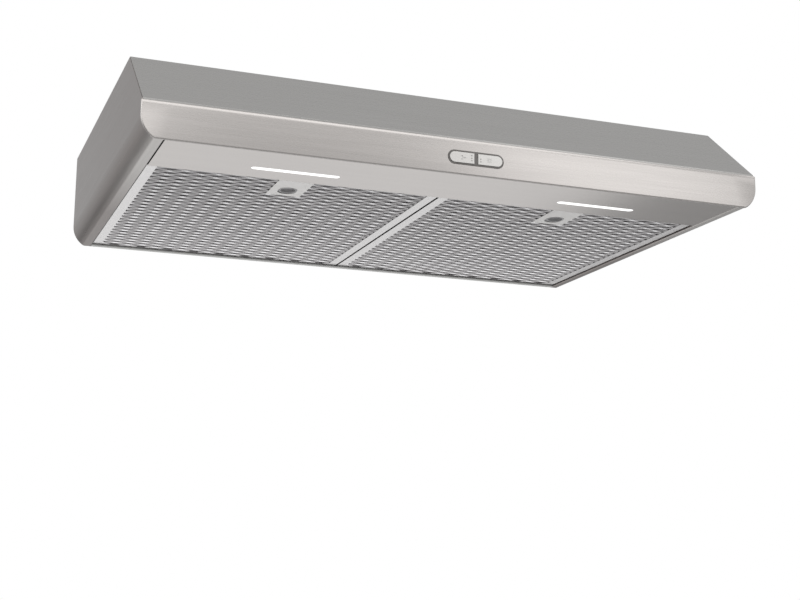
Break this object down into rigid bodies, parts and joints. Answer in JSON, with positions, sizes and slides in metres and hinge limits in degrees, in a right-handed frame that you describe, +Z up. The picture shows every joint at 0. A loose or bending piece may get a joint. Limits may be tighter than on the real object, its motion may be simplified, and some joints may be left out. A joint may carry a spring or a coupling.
{
  "type": "under cabinet range hood",
  "caption": "Shallow stainless steel under cabinet range hood with a sloped front, brushed fascia, push controls, light strips, drop-down mesh filters, blower and damper.",
  "frame": {"origin": "centre of the four cabinet screws, on the flat top face that meets the cabinet", "axes": "+X to the viewer's right along the hood's length, -Y to the front, +Z up into the cabinet"},
  "size_m": [0.7612, 0.509, 0.158],
  "materials": {
    "canopy_steel": "stainless steel with fine horizontal grain",
    "side_steel": "stainless steel with fine grain",
    "back_steel": "plain mill-finish stainless steel",
    "fascia_steel": "stainless steel brushed along its length, with bright edges",
    "panel_steel": "satin stainless steel",
    "lens_plastic": "opal diffuser, lit white",
    "module_plastic": "moulded plastic",
    "bezel_plastic": "dark grey moulded plastic",
    "button_plastic": "silver-grey painted plastic with plain grey marks",
    "black_plastic": "black moulded plastic",
    "circuit_board": "green solder mask",
    "filter_aluminium": "folded aluminium strip",
    "mesh_aluminium": "expanded aluminium",
    "mesh_pad": "pack of fine expanded aluminium layers",
    "latch_plate_aluminium": "pressed aluminium plate",
    "latch_plastic": "dark grey moulded plastic",
    "galvanised_steel": "zinc-coated sheet",
    "wheel_steel": "zinc-coated pressings",
    "motor_paint": "black paint",
    "bright_steel": "ground steel",
    "capacitor_plastic": "moulded plastic",
    "flap_aluminium": "thin aluminium sheet",
    "white_plastic": "white moulded plastic",
    "lead_sheath": "black sheath",
    "screw_steel": "zinc-plated steel"
  },
  "bodies": {
    "hood": {"canopy_top": "canopy_steel", "left_side_panel": "side_steel", "right_side_panel": "side_steel", "back_panel": "back_steel", "front_fascia": "fascia_steel", "light_panel": "panel_steel", "left_lamp_lens": "lens_plastic", "right_lamp_lens": "lens_plastic", "left_lamp_module": "module_plastic", "right_lamp_module": "module_plastic", "control_bezel": "bezel_plastic", "control_housing": "black_plastic", "control_board": "circuit_board", "blower_housing": "galvanised_steel", "blower_inlet": "galvanised_steel", "blower_motor": "motor_paint", "motor_capacitor": "capacitor_plastic", "discharge_box": "galvanised_steel", "duct_collar": "galvanised_steel", "wiring_housing": "galvanised_steel", "wiring_cover": "galvanised_steel", "led_driver": "white_plastic", "supply_lead": "lead_sheath", "control_lead": "lead_sheath", "lamp_leads": "lead_sheath", "lead_clips": "white_plastic", "fascia_screws": "screw_steel", "control_screws": "screw_steel", "blower_screws": "screw_steel", "collar_screws": "screw_steel", "wiring_screws": "screw_steel"},
    "fan_button": {"fan_button": "button_plastic"},
    "light_button": {"light_button": "button_plastic"},
    "left_filter": {"left_filter_frame": "filter_aluminium", "left_filter_mesh": "mesh_aluminium", "left_filter_pad": "mesh_pad", "left_latch_plate": "latch_plate_aluminium"},
    "left_latch": {"left_latch": "latch_plastic"},
    "right_filter": {"right_filter_frame": "filter_aluminium", "right_filter_mesh": "mesh_aluminium", "right_filter_pad": "mesh_pad", "right_latch_plate": "latch_plate_aluminium"},
    "right_latch": {"right_latch": "latch_plastic"},
    "impeller": {"blower_wheel": "wheel_steel", "motor_shaft": "bright_steel"},
    "damper": {"damper_flap": "flap_aluminium", "damper_rod": "bright_steel"}
  },
  "joints": [
    {"name": "fan_button_push", "type": "slide", "parent": "hood", "child": "fan_button", "axis": [0, 1, 0], "range_m": [0, 0.001], "stiffness_N_per_m": 800, "springref_m": -0.001},
    {"name": "light_button_push", "type": "slide", "parent": "hood", "child": "light_button", "axis": [0, 1, 0], "range_m": [0, 0.001], "stiffness_N_per_m": 800, "springref_m": -0.001},
    {"name": "left_filter_swing", "type": "hinge", "parent": "hood", "child": "left_filter", "pos_m": [0, 0.1965, -0.1217], "axis": [1, 0, 0], "range_deg": [0, 60]},
    {"name": "left_latch_pull", "type": "slide", "parent": "left_filter", "child": "left_latch", "axis": [0, 1, 0], "range_m": [0, 0.005], "stiffness_N_per_m": 600, "springref_m": -0.003},
    {"name": "right_filter_swing", "type": "hinge", "parent": "hood", "child": "right_filter", "pos_m": [0, 0.1965, -0.1217], "axis": [1, 0, 0], "range_deg": [0, 60]},
    {"name": "right_latch_pull", "type": "slide", "parent": "right_filter", "child": "right_latch", "axis": [0, 1, 0], "range_m": [0, 0.005], "stiffness_N_per_m": 600, "springref_m": -0.003},
    {"name": "impeller_spin", "type": "hinge", "parent": "hood", "child": "impeller", "pos_m": [-0.09, -0.06, -0.05], "axis": [0, 0, 1], "continuous": true},
    {"name": "damper_swing", "type": "hinge", "parent": "hood", "child": "damper", "pos_m": [0, 0.1765, 0.009], "axis": [-1, 0, 0], "range_deg": [0, 75]}
  ]
}
